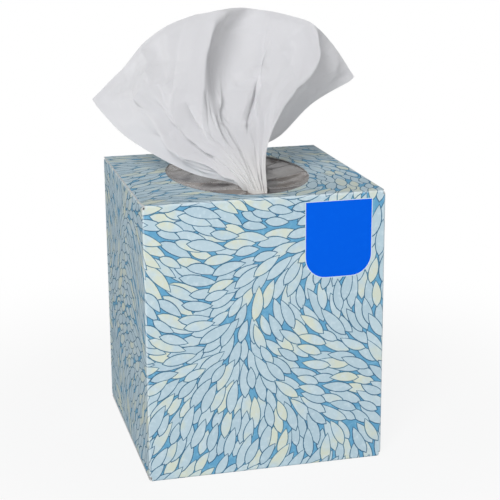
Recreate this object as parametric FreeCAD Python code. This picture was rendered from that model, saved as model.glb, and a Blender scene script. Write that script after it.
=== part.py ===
"""Upright cube tissue box: folded paperboard carton with an oval mouth, slit film behind the mouth,
a bent stack of interfolded sheets, and the first sheet standing out of the slit.

Frame: origin at the centre of the underside, +Z up, the front panel faces -Y. Millimetres.
"""

import FreeCAD, Part
import math
import os

# Carton
box_width = 110.0  # over the left and right panels, along X
box_depth = 110.0  # over the front and back panels, along Y
box_height = 128.0
board = 0.5  # paperboard thickness
crease_radius = 0.45  # inside radius of every fold
hinge_strip = 0.15  # straight board between a panel's end and the fold of its flap
layer_gap = 0.12  # air between two layers of board
edge_relief = 0.2  # how far a raw edge stays inside the face beside it
corner_relief = 1.1  # the hinge of a flap stops this far from the corner
seam_gap = 0.25  # slot between the raw edge of the side seam and the face beside it
glue_flap_width = 16.0
mitre_gap = 0.5  # between two flaps that meet at a slant
top_dust_flap = 26.0  # from the side panel inward
rear_tab = 15.0  # from the back panel inward
bottom_dust_flap = 40.0
bottom_inner_flap = 82.0

# Mouth in the top panel
mouth_side_gap = 22.0  # from the mouth to the left and right panels
mouth_end_gap = 7.0  # to the front and back panels
mouth_land = 2.5  # the flaps below keep this far back from the mouth's rim
nib_count = 40  # torn bridges of the perforation, left along the rim
nib_height = 0.3
nib_width = 0.9

# Film glued under the top panel
film_thickness = 0.1
film_margin = 5.0  # glued border round the mouth
film_dip = 2.2  # how far the free film hangs below the panel
lip_lift = 1.6  # how far the lips of the slit stand up again
slit_end_gap = 2.5  # from the slit's end to the rim of the mouth
slit_half_width = 6.2  # held open by the standing sheet

# Stack of interfolded sheets, bent into an arch with its legs at the front and the back
stack_bend_radius = 2.7  # inside the arch
stack_top_gap = 10.57  # from the top of the arch to the carton's upper face
stack_side_gap = 1.2  # to the left and right panels
stack_end_gap = 1.8  # to the front and back panels
raised_edge_x = -10.0  # the next sheet's edge, drawn up beside the slit
raised_edge_gap = 3.5  # from its upper edge to the top panel
raised_edge_half_length = 34.0
raised_edge_wave = 0.8
raised_edge_sag = 2.5  # how much lower its ends are than its middle
raised_edge_root = 1.0  # how deep it is rooted in the stack

# The sheet that stands out of the slit. Each rib starts at the slit and runs up to the free edge:
# its share along the free edge, then x, y and height above the top panel of five points on it,
# in units of fan_unit.
fan_unit = 1.0
fan_slit = 45.5  # half length of the slit that the ribs are laid out for
fan_ribs = [
    (0.00, [(-4.5, -38, 0), (-15, -37, 5.5), (-31, -26, 8.5), (-52, 0, 19.8), (-66, 12, 36)]),
    (0.11, [(-4.4, -39, 0), (-15, -40, 10), (-33, -31, 21), (-48, -12, 38), (-53, 4, 51.5)]),
    (0.235, [(-4.0, -40, 0), (-14, -41.5, 13), (-32, -33, 29), (-41, -24, 48), (-41, -8, 67)]),
    (0.33, [(-3.0, -40.8, 0), (-12, -43, 14), (-27, -39, 31), (-32, -33, 54), (-27.5, -22, 76)]),
    (0.40, [(-1.5, -41.2, 0), (-9.5, -42.5, 13.5), (-20, -37, 33), (-22.5, -33, 58), (-18, -30, 78.5)]),
    (0.50, [(-0.2, -40.2, 0), (-5.5, -39.5, 14), (-10, -28, 34), (-8, -21, 58), (-2, -18, 78.5)]),
    (0.575, [(0.9, -39, 0), (-1, -36.5, 14), (2.5, -20, 34), (8, -11, 58), (11, -8, 76.5)]),
    (0.65, [(2.4, -40, 0), (2, -37.5, 14), (9, -24, 34), (18, -16, 56), (21, -12, 74.5)]),
    (0.73, [(4.2, -41, 0), (4.2, -38, 18), (14.5, -31, 35), (27.5, -26, 52), (32, -22, 70.5)]),
    (0.85, [(3.8, -14, 0), (6, -9, 12), (18, -4, 26), (33, -5, 43), (46, -6, 59)]),
    (1.00, [(2.5, 33, 0), (12, 30, 4.5), (27, 24, 11), (42, 15, 27.3), (62, 10, 40.5)]),
]
# Creases that run up the fan: share along the free edge, half width as a share, height of the crease
fan_creases = [
    (0.06, 0.030, -1.3),
    (0.17, 0.035, 1.6),
    (0.29, 0.030, -1.8),
    (0.45, 0.030, 1.4),
    (0.54, 0.025, -1.2),
    (0.61, 0.025, 1.3),
    (0.69, 0.025, -1.5),
    (0.79, 0.030, 1.5),
    (0.92, 0.035, -1.5),
]
sheet_thickness = 0.24  # two plies, with their loft
# Below the slit the sheet narrows no more, comes down onto the arch, runs to the right and folds back
foot_x = 4.2
foot_front = -0.79  # as a share of the slit's half length
foot_back = 0.66
foot_lift = 2.6  # height over the arch where it starts to turn
upper_layer_lift = 1.0
lower_layer_lift = 0.3
foot_turn = 3.0  # along X, from the foot to where the sheet lies on the arch
fold_inset = 1.9  # from the stack's side to the fold
fold_reach = 1.2
tail_end_x = -7.0
tail_margin = 1.5  # at each end of the sheet's free length

# Facets of the soft surfaces
fan_columns = 54
fan_rows = 12
drop_rows = 3
film_columns = 64
film_rows = 9

half_w = box_width / 2
half_d = box_depth / 2
fold_outer = crease_radius + board
mouth_half_width = half_w - mouth_side_gap
mouth_half_depth = half_d - mouth_end_gap
slit_half_length = mouth_half_depth - slit_end_gap
film_level = box_height - board  # upper face of the film's border
flap_level = film_level - film_thickness  # upper face of the flaps under the film
inner_flap_level = board + layer_gap  # underside of the inner bottom flap
dust_flap_level = 2 * (board + layer_gap)  # underside of the bottom dust flaps
stack_floor = dust_flap_level + board
tube_bottom = dust_flap_level + fold_outer + hinge_strip
tube_top = flap_level - fold_outer - hinge_strip
arch_outer = half_d - board - stack_end_gap
arch_inner = stack_bend_radius
arch_centre_z = box_height - stack_top_gap - arch_outer
stack_leg = arch_centre_z - stack_floor  # upright part below the arch
sheet_side = 2 * stack_leg + math.pi * (arch_outer + arch_inner) / 2  # one square sheet, 213
fold_x = half_w - board - stack_side_gap - fold_inset


def vec(x, y, z):
    return FreeCAD.Vector(x, y, z)


def plate(outline, z_low, z_high):
    """A flat plate from an outline of (x, y) corners."""
    corners = [vec(x, y, z_low) for x, y in outline]
    face = Part.Face(Part.makePolygon(corners + corners[:1]))
    return face.extrude(vec(0, 0, z_high - z_low))


def oval_prism(margin, z_low, z_high):
    """An upright prism of the mouth's oval, widened by a margin."""
    curve = Part.Ellipse(
        vec(0, mouth_half_depth + margin, z_low), vec(mouth_half_width + margin, 0, z_low), vec(0, 0, z_low)
    )
    return Part.Face(Part.Wire(curve.toShape())).extrude(vec(0, 0, z_high - z_low))


def upright_edges(solid):
    """The edges that run straight up, which are the corner creases."""
    upright = []
    for edge in solid.Edges:
        start, end = (v.Point for v in edge.Vertexes)
        if math.hypot(start.x - end.x, start.y - end.y) < 1e-6:
            upright.append(edge)
    return upright


def panel_tube():
    """The four panels with creased corners, open at both ends."""
    height = tube_top - tube_bottom
    outer = Part.makeBox(box_width, box_depth, height, vec(-half_w, -half_d, tube_bottom))
    inner = Part.makeBox(
        box_width - 2 * board, box_depth - 2 * board, height, vec(board - half_w, board - half_d, tube_bottom)
    )
    outer = outer.makeFillet(fold_outer, upright_edges(outer))
    inner = inner.makeFillet(crease_radius, upright_edges(inner))
    return outer.cut(inner)


def with_side_seam(tube):
    """Opens the rear right corner: the right panel ends raw, over a flap folded in from the back panel."""
    height = tube_top - tube_bottom
    crease_x = half_w - board - fold_outer
    crease_y = half_d - fold_outer
    corner = Part.makeBox(fold_outer + board, fold_outer, height, vec(crease_x, crease_y, tube_bottom))
    raw_end = Part.makeBox(board, fold_outer - seam_gap, height, vec(half_w - board, crease_y, tube_bottom))
    fold = Part.makeCylinder(fold_outer, height, vec(crease_x, crease_y, tube_bottom))
    fold = fold.cut(Part.makeCylinder(crease_radius, height, vec(crease_x, crease_y, tube_bottom)))
    fold = fold.common(Part.makeBox(fold_outer, fold_outer, height, vec(crease_x, crease_y, tube_bottom)))
    glue_flap = Part.makeBox(
        board, glue_flap_width, height, vec(half_w - 2 * board, crease_y - glue_flap_width, tube_bottom)
    )
    return tube.cut(corner).fuse([raw_end, fold, glue_flap])


def hinged_flap(side, at_top, level, reach):
    """A flap creased inward from a panel: a strip of the panel, the fold and the flat part in one.

    side is 0 front, 1 right, 2 back, 3 left. level is the distance of the flap's outer face from the
    carton's end, and reach how far the flap runs in from the panel's outer face.
    """
    across = (box_width, box_depth)[side % 2] - 2 * corner_relief
    face_y = -(half_d, half_w)[side % 2]
    tube_end = box_height - tube_top if at_top else tube_bottom
    middle = math.sqrt(0.5)

    def point(inward, from_end):
        return vec(-across / 2, face_y + inward, box_height - from_end if at_top else from_end)

    def fold_point(radius):
        return point(fold_outer - radius * middle, level + fold_outer - radius * middle)

    corners = [
        point(0, level + fold_outer),
        point(fold_outer, level),
        point(reach, level),
        point(reach, level + board),
        point(fold_outer, level + board),
        point(board, level + fold_outer),
        point(board, tube_end),
        point(0, tube_end),
    ]
    edges = [Part.Arc(corners[0], fold_point(fold_outer), corners[1]).toShape()]
    edges += [Part.LineSegment(corners[i], corners[i + 1]).toShape() for i in (1, 2, 3)]
    edges.append(Part.Arc(corners[4], fold_point(crease_radius), corners[5]).toShape())
    edges += [Part.LineSegment(corners[i], corners[(i + 1) % 8]).toShape() for i in (5, 6, 7)]
    flap = Part.Face(Part.Wire(edges)).extrude(vec(across, 0, 0))
    flap.rotate(vec(0, 0, 0), vec(0, 0, 1), 90 * side)
    return flap


def closing_panel(at_top):
    """The full panel that closes one end, hinged on the front panel and raw on its other edges."""
    z_low = film_level if at_top else 0
    flap = hinged_flap(0, at_top, 0, box_depth - edge_relief)
    hinge_y = fold_outer - half_d
    rear_y = half_d - edge_relief
    ears = []
    for side in (-1, 1):
        hinge_x = side * (half_w - corner_relief)
        raw_x = side * (half_w - edge_relief)
        outline = [(hinge_x, hinge_y), (raw_x, hinge_y + corner_relief), (raw_x, rear_y), (hinge_x, rear_y)]
        ears.append(plate(outline, z_low, z_low + board))
    return flap.fuse(ears)


def mouth_nib(index):
    """One torn bridge of the perforation, standing in from the mouth's rim."""
    outline = []
    for step, stand in ((-1, 0.5), (1, 0.5), (0, -nib_height)):
        turn = 2 * math.pi * (index + 0.5) / nib_count + step * nib_width / (mouth_half_width + mouth_half_depth)
        outline.append(((mouth_half_width + stand) * math.cos(turn), (mouth_half_depth + stand) * math.sin(turn)))
    return plate(outline, film_level, box_height)


def top_closure():
    """The top panel with its torn-out mouth, over two dust flaps and a rear tab."""
    panel = closing_panel(True).cut(oval_prism(0, film_level - 1, box_height + 1))
    panel = panel.fuse([mouth_nib(i) for i in range(nib_count)])
    level = box_height - flap_level
    bite = oval_prism(mouth_land, flap_level - board - 1, flap_level + 0.01)
    slant = half_d - rear_tab - mitre_gap
    far = half_d + mitre_gap
    flaps = []
    for side in (1, 3):
        flap = hinged_flap(side, True, level, top_dust_flap)
        outline = [(0, slant), (slant + mitre_gap, slant), (far, far - mitre_gap), (far, far), (0, far)]
        if side == 3:
            outline = [(-x, y) for x, y in outline]
        rear_corner = plate(outline, flap_level - board - 1, box_height)
        flaps.append(flap.cut(rear_corner).cut(bite))
    tab = hinged_flap(2, True, level, rear_tab)
    for side in (-1, 1):
        outline = [(side * (half_w - rear_tab), half_d - rear_tab), (side * far, far), (side * far, half_d - rear_tab)]
        tab = tab.cut(plate(outline, flap_level - board - 1, tube_top + hinge_strip))
    flaps.append(tab.cut(bite))
    return [panel] + flaps


def bottom_closure():
    """Two dust flaps, the inner flap from the back and the full outer panel from the front."""
    return [
        hinged_flap(1, False, dust_flap_level, bottom_dust_flap),
        hinged_flap(3, False, dust_flap_level, bottom_dust_flap),
        hinged_flap(2, False, inner_flap_level, bottom_inner_flap),
        closing_panel(False),
    ]


def make_carton():
    """One folded and glued sheet of paperboard."""
    tube = with_side_seam(panel_tube())
    return tube.fuse(top_closure() + bottom_closure()).removeSplitter()


def facet_solid(near, far, closed=False):
    """A solid between two grids of points, in flat facets. Its rows may close on themselves."""
    rows, columns = len(near), len(near[0])
    last = columns if closed else columns - 1
    facets = []

    def quad(*corners):
        a, b, c, d = ((grid * rows + i) * columns + j % columns for grid, i, j in corners)
        facets.extend([(a, b, c), (a, c, d)])

    for i in range(rows - 1):
        for j in range(last):
            quad((0, i, j), (0, i, j + 1), (0, i + 1, j + 1), (0, i + 1, j))
            quad((1, i, j), (1, i + 1, j), (1, i + 1, j + 1), (1, i, j + 1))
        if not closed:
            quad((0, i, 0), (0, i + 1, 0), (1, i + 1, 0), (1, i, 0))
            quad((0, i, last), (1, i, last), (1, i + 1, last), (0, i + 1, last))
    for j in range(last):
        quad((0, 0, j), (1, 0, j), (1, 0, j + 1), (0, 0, j + 1))
        quad((0, rows - 1, j), (0, rows - 1, j + 1), (1, rows - 1, j + 1), (1, rows - 1, j))
    skin = Part.Shape()
    skin.makeShapeFromMesh(([p for grid in (near, far) for line in grid for p in line], facets), 0.001)
    solid = Part.makeSolid(Part.makeShell(skin.Faces))
    if solid.Volume < 0:
        solid.reverse()
    return solid


def grid_normals(grid):
    """The direction across the sheet at each point of a grid, from its neighbours."""
    rows, columns = len(grid), len(grid[0])
    normals = []
    for i in range(rows):
        line = []
        for j in range(columns):
            up = grid[min(i + 1, rows - 1)][j] - grid[max(i - 1, 0)][j]
            along = grid[i][min(j + 1, columns - 1)] - grid[i][max(j - 1, 0)]
            line.append(along.cross(up).normalize())
        normals.append(line)
    return normals


def thick_sheet(grid, thickness):
    """A solid sheet of even thickness about a grid of points."""
    normals = grid_normals(grid)
    near, far = (
        [
            [p + n * (side * thickness) for p, n in zip(line, normal_line)]
            for line, normal_line in zip(grid, normals)
        ]
        for side in (-0.5, 0.5)
    )
    return facet_solid(near, far)


def film_point(turn, inward):
    """A point of the film: turn goes round the mouth, inward from -1 at the border's edge to 1 at the lip."""
    c, s = math.cos(turn), math.sin(turn)
    if inward <= 0:
        return vec(
            (mouth_half_width - film_margin * inward) * c, (mouth_half_depth - film_margin * inward) * s, film_level
        )
    lip_x = math.copysign(slit_half_width * abs(c) ** 0.4, c)
    lip_y = math.copysign(slit_half_length * abs(s) ** 0.4, s)
    x = mouth_half_width * c * (1 - inward) + lip_x * inward
    y = mouth_half_depth * s * (1 - inward) + lip_y * inward
    slack = max(0.0, 1 - (y / mouth_half_depth) ** 2)
    drop = film_dip * math.sin(math.pi * inward) - lip_lift * inward**3
    return vec(x, y, film_level - drop * slack)


def make_film():
    """Clear film glued under the top panel, which hangs a little and lifts again at its slit."""
    levels = [-1, 0] + [k / film_rows for k in range(1, film_rows + 1)]
    turns = [2 * math.pi * (j + 0.5) / film_columns for j in range(film_columns)]
    upper = [[film_point(turn, inward) for turn in turns] for inward in levels]
    lower = [[p - vec(0, 0, film_thickness) for p in line] for line in upper]
    return facet_solid(lower, upper, closed=True)


def on_arch(x, along, lift):
    """A point over the bent stack: along runs over the arch from front to back, 0 at its top."""
    radius = arch_outer + lift
    quarter = arch_outer * math.pi / 2
    if abs(along) <= quarter:
        turn = along / arch_outer
        return vec(x, radius * math.sin(turn), arch_centre_z + radius * math.cos(turn))
    return vec(x, math.copysign(radius, along), arch_centre_z - (abs(along) - quarter))


def make_stack():
    """The interfolded sheets as one solid, bent over into an arch, with the next sheet's edge drawn up."""
    x = stack_side_gap + board - half_w

    def point(y, z):
        return vec(x, y, z)

    def arch(radius, direction):
        return Part.Arc(
            point(-direction * radius, arch_centre_z),
            point(0, arch_centre_z + radius),
            point(direction * radius, arch_centre_z),
        ).toShape()

    def line(y_a, z_a, y_b, z_b):
        return Part.LineSegment(point(y_a, z_a), point(y_b, z_b)).toShape()

    outline = [
        line(-arch_outer, stack_floor, -arch_outer, arch_centre_z),
        arch(arch_outer, 1),
        line(arch_outer, arch_centre_z, arch_outer, stack_floor),
        line(arch_outer, stack_floor, arch_inner, stack_floor),
        line(arch_inner, stack_floor, arch_inner, arch_centre_z),
        arch(arch_inner, -1),
        line(-arch_inner, arch_centre_z, -arch_inner, stack_floor),
        line(-arch_inner, stack_floor, -arch_outer, stack_floor),
    ]
    block = Part.Face(Part.Wire(outline)).extrude(vec(-2 * x, 0, 0))
    return block.fuse(raised_edge())


def raised_edge():
    """The next sheet's edge, standing wavy over the arch beside the slit."""
    rows, columns = 5, 24
    top = box_height - raised_edge_gap
    grid = []
    for i in range(rows):
        up = i / (rows - 1)
        line = []
        for j in range(columns):
            along = -1 + 2 * j / (columns - 1)
            y = raised_edge_half_length * along
            low = arch_centre_z + math.sqrt(arch_outer**2 - y**2) - raised_edge_root
            x = raised_edge_x + raised_edge_wave * up * math.sin(3 * math.pi * along)
            line.append(vec(x, y, low + (top - raised_edge_sag * along**2 - low) * up))
        grid.append(line)
    return thick_sheet(grid, sheet_thickness * 1.5)


def smooth(places, share):
    """A smooth value through a list of (share, value), a cubic between each two of them."""
    last = len(places) - 1
    i = max([0] + [k for k in range(last) if places[k][0] <= share])
    t = (share - places[i][0]) / (places[i + 1][0] - places[i][0])
    a, b, c, d = (places[min(max(k, 0), last)][1] for k in (i - 1, i, i + 1, i + 2))
    square = a - b * 2.5 + c * 2 - d * 0.5
    cube = (b - c) * 1.5 + (d - a) * 0.5
    return b + ((c - a) * 0.5 + (square + cube * t) * t) * t


def fan_point(share, up):
    """A point of the standing sheet: up is 0 at the slit and 1 at the free edge."""
    last = len(fan_ribs[0][1]) - 1
    levels = []
    for k in range(last + 1):
        across = [(rib_share, vec(*points[k])) for rib_share, points in fan_ribs]
        levels.append((k / last, smooth(across, share)))
    place = smooth(levels, up) * fan_unit
    return vec(place.x, place.y * slit_half_length / fan_slit, place.z + box_height)


def crease_height(share):
    """How far the creases lift the sheet at a share of its free edge."""
    return fan_unit * sum(height * max(0.0, 1 - abs(share - at) / half) for at, half, height in fan_creases)


def tail_path():
    """Where the sheet runs below the foot, as x, height over the arch, and spread from 0 to 1."""
    path = [(foot_x, foot_lift, 0.0), (foot_x + foot_turn / 4, (foot_lift + upper_layer_lift) / 2, 0.03)]
    start = foot_x + foot_turn
    flat_end = fold_x - fold_reach
    for k in range(7):
        share = k / 6
        path.append((start + (flat_end - start) * share, upper_layer_lift, 0.08 + 0.92 * share))
    middle = (upper_layer_lift + lower_layer_lift) / 2
    path.append((fold_x - fold_reach / 3, upper_layer_lift, 1.0))
    path.append((fold_x, middle, 1.0))
    path.append((fold_x - fold_reach / 3, lower_layer_lift, 1.0))
    for k in range(5):
        path.append((flat_end + (tail_end_x - flat_end) * k / 4, lower_layer_lift, 1.0))
    return path


def make_popup_tissue():
    """The first sheet: fanned out above the box, drawn together in the slit, and laid on the arch below."""
    shares = [j / (fan_columns - 1) for j in range(fan_columns)]
    fan = [[fan_point(share, i / (fan_rows - 1)) for share in shares] for i in range(fan_rows)]
    normals = grid_normals(fan)
    for i, line in enumerate(fan):
        swell = math.sin(math.pi * min(0.5, 0.9 * i / (fan_rows - 1)))
        for j, share in enumerate(shares):
            line[j] = line[j] + normals[i][j] * (crease_height(share) * swell)

    def along(share, spread):
        foot_y = slit_half_length * (foot_front + (foot_back - foot_front) * share)
        foot = arch_outer * math.asin(foot_y / arch_outer)
        end = (2 * share - 1) * (sheet_side / 2 - tail_margin)
        return foot + (end - foot) * spread

    tail = [[on_arch(x, along(share, spread), lift) for share in shares] for x, lift, spread in tail_path()]
    drop = []
    for k in range(1, drop_rows + 1):
        down = k / (drop_rows + 1)
        drop.append([slit + (foot - slit) * down for slit, foot in zip(fan[0], tail[0])])
    return thick_sheet(tail[::-1] + drop[::-1] + fan, sheet_thickness)


def main():
    os.makedirs("parts", exist_ok=True)
    nodes = {
        "carton": make_carton,
        "window_film": make_film,
        "tissue_stack": make_stack,
        "popup_tissue": make_popup_tissue,
    }
    for name, make in nodes.items():
        shape = make()
        print(name, shape.isValid(), len(shape.Solids), round(shape.Volume, 1), len(shape.Faces))
        shape.exportStep(f"parts/{name}.step")


main()
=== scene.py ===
import math
import random

import bpy
import numpy as np
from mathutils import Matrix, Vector, geometry


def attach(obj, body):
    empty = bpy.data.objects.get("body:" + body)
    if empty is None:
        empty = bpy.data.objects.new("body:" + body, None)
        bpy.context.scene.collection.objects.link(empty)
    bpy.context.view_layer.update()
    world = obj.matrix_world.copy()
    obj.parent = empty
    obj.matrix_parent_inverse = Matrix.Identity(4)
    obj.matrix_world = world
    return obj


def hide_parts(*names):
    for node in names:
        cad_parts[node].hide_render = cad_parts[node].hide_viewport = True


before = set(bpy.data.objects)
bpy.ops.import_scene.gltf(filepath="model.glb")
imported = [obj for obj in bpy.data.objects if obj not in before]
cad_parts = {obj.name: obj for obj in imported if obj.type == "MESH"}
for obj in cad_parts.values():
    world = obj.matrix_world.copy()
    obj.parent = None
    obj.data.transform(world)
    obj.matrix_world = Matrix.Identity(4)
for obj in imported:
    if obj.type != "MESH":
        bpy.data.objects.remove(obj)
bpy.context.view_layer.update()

mm = 0.001
boxWidth = 110.0
boxDepth = 110.0
boxHeight = 128.0
halfWidth = boxWidth / 2
halfDepth = boxDepth / 2
mouthHalfWidth = 33.0
mouthHalfDepth = 48.0
frontCentre = 1.5 * boxWidth  # of the front panel, along the flat blank


# Helpers
def smoothstep(x):
    x = np.clip(x, 0.0, 1.0)
    return x * x * (3 - 2 * x)


def catmull(knots, values, at):
    # Cubic through values[k] at knots[k]; at may be an array.
    at = np.atleast_1d(np.asarray(at, float))
    values = np.asarray(values, float)
    last = len(knots) - 1
    i = np.clip(np.searchsorted(knots, at, side="right") - 1, 0, last - 1)
    t = (at - knots[i]) / (knots[i + 1] - knots[i])
    t = t.reshape(t.shape + (1,) * (values.ndim - 1))
    a = values[np.clip(i - 1, 0, last)]
    b = values[i]
    c = values[i + 1]
    d = values[np.clip(i + 2, 0, last)]
    square = a - 2.5 * b + 2 * c - 0.5 * d
    cube = 1.5 * (b - c) + 0.5 * (d - a)
    return b + ((c - a) * 0.5 + (square + cube * t) * t) * t


def gridNormals(grid):
    up = np.gradient(grid, axis=0)
    along = np.gradient(grid, axis=1)
    normal = np.cross(along, up)
    return normal / np.maximum(np.linalg.norm(normal, axis=2, keepdims=True), 1e-12)


def meshObject(name, points, faces, smooth=True):
    mesh = bpy.data.meshes.new(name)
    mesh.from_pydata([tuple(p) for p in points], [], faces)
    mesh.update()
    mesh.polygons.foreach_set("use_smooth", [smooth] * len(mesh.polygons))
    obj = bpy.data.objects.new(name, mesh)
    bpy.context.scene.collection.objects.link(obj)
    return obj


def gridFaces(rows, columns, closed=False):
    last = columns if closed else columns - 1
    faces = []
    for i in range(rows - 1):
        for j in range(last):
            k = (j + 1) % columns
            faces.append((i * columns + j, i * columns + k, (i + 1) * columns + k, (i + 1) * columns + j))
    return faces


def addFloat(mesh, name, values, domain="POINT"):
    layer = mesh.attributes.new(name, "FLOAT", domain)
    layer.data.foreach_set("value", np.asarray(values, np.float32).ravel())


class Nodes:
    # Short way to write the node tree of a new material, or of the world
    def __init__(self, name, world=None):
        self.owner = world or bpy.data.materials.new(name)
        self.output = "ShaderNodeOutputWorld" if world else "ShaderNodeOutputMaterial"
        self.owner.use_nodes = True
        self.tree = self.owner.node_tree
        self.tree.nodes.clear()

    def add(self, kind, settings=None, **inputs):
        node = self.tree.nodes.new(kind)
        for key, value in (settings or {}).items():
            setattr(node, key, value)
        for key, value in inputs.items():
            self.set(node, key.replace("_", " "), value)
        return node

    def set(self, node, key, value):
        socket = node.inputs[int(key)] if key.isdigit() else node.inputs[key]
        if isinstance(value, bpy.types.NodeSocket):
            self.tree.links.new(value, socket)
        else:
            socket.default_value = value

    def mixColour(self, factor, a, b):
        node = self.add("ShaderNodeMix", {"data_type": "RGBA"})
        self.set(node, "0", factor)
        self.set(node, "6", a)
        self.set(node, "7", b)
        return node.outputs[2]

    def ramp(self, value, stops):
        node = self.add("ShaderNodeValToRGB")
        elements = node.color_ramp.elements
        while len(elements) < len(stops):
            elements.new(0.5)
        for element, (place, colour) in zip(elements, stops):
            element.position = place
            element.color = colour if len(colour) == 4 else (*colour, 1)
        self.set(node, "Fac", value)
        return node.outputs["Color"]

    def math(self, operation, a, b=0.0):
        node = self.add("ShaderNodeMath", {"operation": operation})
        self.set(node, "0", a)
        self.set(node, "1", b)
        return node.outputs[0]

    def noise(self, vector, scale, detail=3.0, roughness=0.5):
        node = self.add("ShaderNodeTexNoise")
        self.set(node, "Vector", vector)
        self.set(node, "Scale", scale)
        self.set(node, "Detail", detail)
        self.set(node, "Roughness", roughness)
        return node.outputs["Fac"]

    def objectCoords(self):
        return self.add("ShaderNodeTexCoord").outputs["Object"]

    def attribute(self, name, output="Fac"):
        return self.add("ShaderNodeAttribute", {"attribute_name": name}).outputs[output]

    def bump(self, height, distance, strength=1.0, normal=None):
        node = self.add("ShaderNodeBump", Strength=strength, Distance=distance, Height=height)
        if normal is not None:
            self.set(node, "Normal", normal)
        return node.outputs["Normal"]

    def blend(self, factor, first, second):
        node = self.add("ShaderNodeMixShader")
        self.set(node, "0", factor)
        self.set(node, "1", first.outputs[0])
        self.set(node, "2", second.outputs[0])
        return node

    def seenRays(self):
        # 1 for a ray that shows in the picture, straight, in a reflection or through the film
        path = self.add("ShaderNodeLightPath")
        seen = self.math("MAXIMUM", path.outputs["Is Camera Ray"], path.outputs["Is Glossy Ray"])
        return self.math("MAXIMUM", seen, path.outputs["Is Transmission Ray"])

    def finish(self, shader):
        out = self.add(self.output)
        self.set(out, "Surface", shader.outputs[0])
        return self.owner


# Camera: fitted to the carton's corners in the photograph
cameraSettings = {
    "azimuth": -14.31,
    "elevation": 15.40,
    "roll": -0.41,
    "place": (-150.35, -614.40, 264.06),
    "lens": 98.26,
}


def makeCamera(settings):
    az = math.radians(settings["azimuth"])
    el = math.radians(settings["elevation"])
    roll = math.radians(settings["roll"])
    back = Vector((math.sin(az) * math.cos(el), -math.cos(az) * math.cos(el), math.sin(el)))
    right = Vector((0, 0, 1)).cross(back).normalized()
    up = back.cross(right)
    turnedRight = math.cos(roll) * right + math.sin(roll) * up
    turnedUp = math.cos(roll) * up - math.sin(roll) * right
    data = bpy.data.cameras.new("camera")
    data.lens = settings["lens"]
    data.sensor_width = 36
    data.clip_start = 0.01
    data.clip_end = 50
    camera = bpy.data.objects.new("camera", data)
    bpy.context.scene.collection.objects.link(camera)
    matrix = camera.matrix_world.copy()
    for row in range(3):
        matrix[row][0] = turnedRight[row]
        matrix[row][1] = turnedUp[row]
        matrix[row][2] = back[row]
        matrix[row][3] = settings["place"][row] * mm
    camera.matrix_world = matrix
    bpy.context.scene.camera = camera


# Lamps, world and floor
lampSettings = {
    # name: azimuth, elevation, distance, size, power
    "key": (-30, 28, 1.5, 0.6, 17.8),
    "fill": (52, 16, 1.8, 1.2, 5.2),
    "back": (165, 35, 1.8, 1.2, 5.0),
}


def makeLamp(name, azimuth, elevation, distance, size, power):
    az, el = math.radians(azimuth), math.radians(elevation)
    aim = Vector((0, 0, 0.1))
    away = Vector((math.sin(az) * math.cos(el), -math.cos(az) * math.cos(el), math.sin(el)))
    data = bpy.data.lights.new(name, "AREA")
    data.shape = "DISK"
    data.size = size
    data.energy = power
    lamp = bpy.data.objects.new(name, data)
    bpy.context.scene.collection.objects.link(lamp)
    lamp.location = aim + away * distance
    lamp.rotation_euler = away.to_track_quat("Z", "Y").to_euler()


# Soft light from all round, and a pale floor that fades to plain white
studioSettings = {
    "worldLight": 0.20,
    "floorReach": 9.0,
    "floorDrop": 0.0002,
    "floorPaint": (0.66, 0.66, 0.66, 1),
    "whiteNearBox": 0.88,
    "fadeFrom": 0.09,
    "fadeTo": 0.30,
}
white = (1, 1, 1, 1)


def makeWorld(settings):
    world = bpy.data.worlds.new("studio")
    bpy.context.scene.world = world
    n = Nodes("studio", world)
    soft = n.add("ShaderNodeBackground", Color=white, Strength=settings["worldLight"])
    plain = n.add("ShaderNodeBackground", Color=white, Strength=1.0)
    n.finish(n.blend(n.seenRays(), soft, plain))


def makeFloor(settings):
    far = settings["floorReach"]
    corners = [(-far, -far, 0), (far, -far, 0), (far, far, 0), (-far, far, 0)]
    floor = meshObject("floor", corners, [(0, 1, 2, 3)])
    n = Nodes("floorPaint")
    length = n.add("ShaderNodeVectorMath", {"operation": "LENGTH"})
    n.set(length, "0", n.objectCoords())
    away = n.add("ShaderNodeMapRange", {"interpolation_type": "SMOOTHSTEP"})
    n.set(away, "Value", length.outputs["Value"])
    n.set(away, "From Min", settings["fadeFrom"])
    n.set(away, "From Max", settings["fadeTo"])
    paint = n.add("ShaderNodeBsdfDiffuse", Color=settings["floorPaint"])
    glow = n.add("ShaderNodeEmission", Color=white, Strength=1.0)
    near = n.blend(settings["whiteNearBox"], paint, glow)  # keeps the shadow close to the box
    shown = n.blend(away.outputs["Result"], near, glow)
    floor.data.materials.append(n.finish(n.blend(n.seenRays(), paint, shown)))
    floor.location.z = -settings["floorDrop"]


# The carton's board
boardSettings = {
    "tones": ((0.58, 0.59, 0.59, 1), (0.68, 0.69, 0.69, 1)),
    "cloudTone": (0.54, 0.55, 0.55, 1),
    "roughness": 0.85,
}


def boardMaterial(settings):
    # Plain recycled board, as on the inside and at the raw edges
    n = Nodes("paperboard")
    coords = n.objectCoords()
    fibre = n.noise(coords, 900, 4)
    cloud = n.noise(coords, 60, 3)
    tone = n.mixColour(n.math("MULTIPLY", fibre, 0.8), *settings["tones"])
    tone = n.mixColour(n.math("MULTIPLY", cloud, 0.35), tone, settings["cloudTone"])
    shader = n.add("ShaderNodeBsdfPrincipled", Roughness=settings["roughness"])
    n.set(shader, "Base Color", tone)
    n.set(shader, "Normal", n.bump(fibre, 0.00004, 0.5))
    return n.finish(shader)


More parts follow.
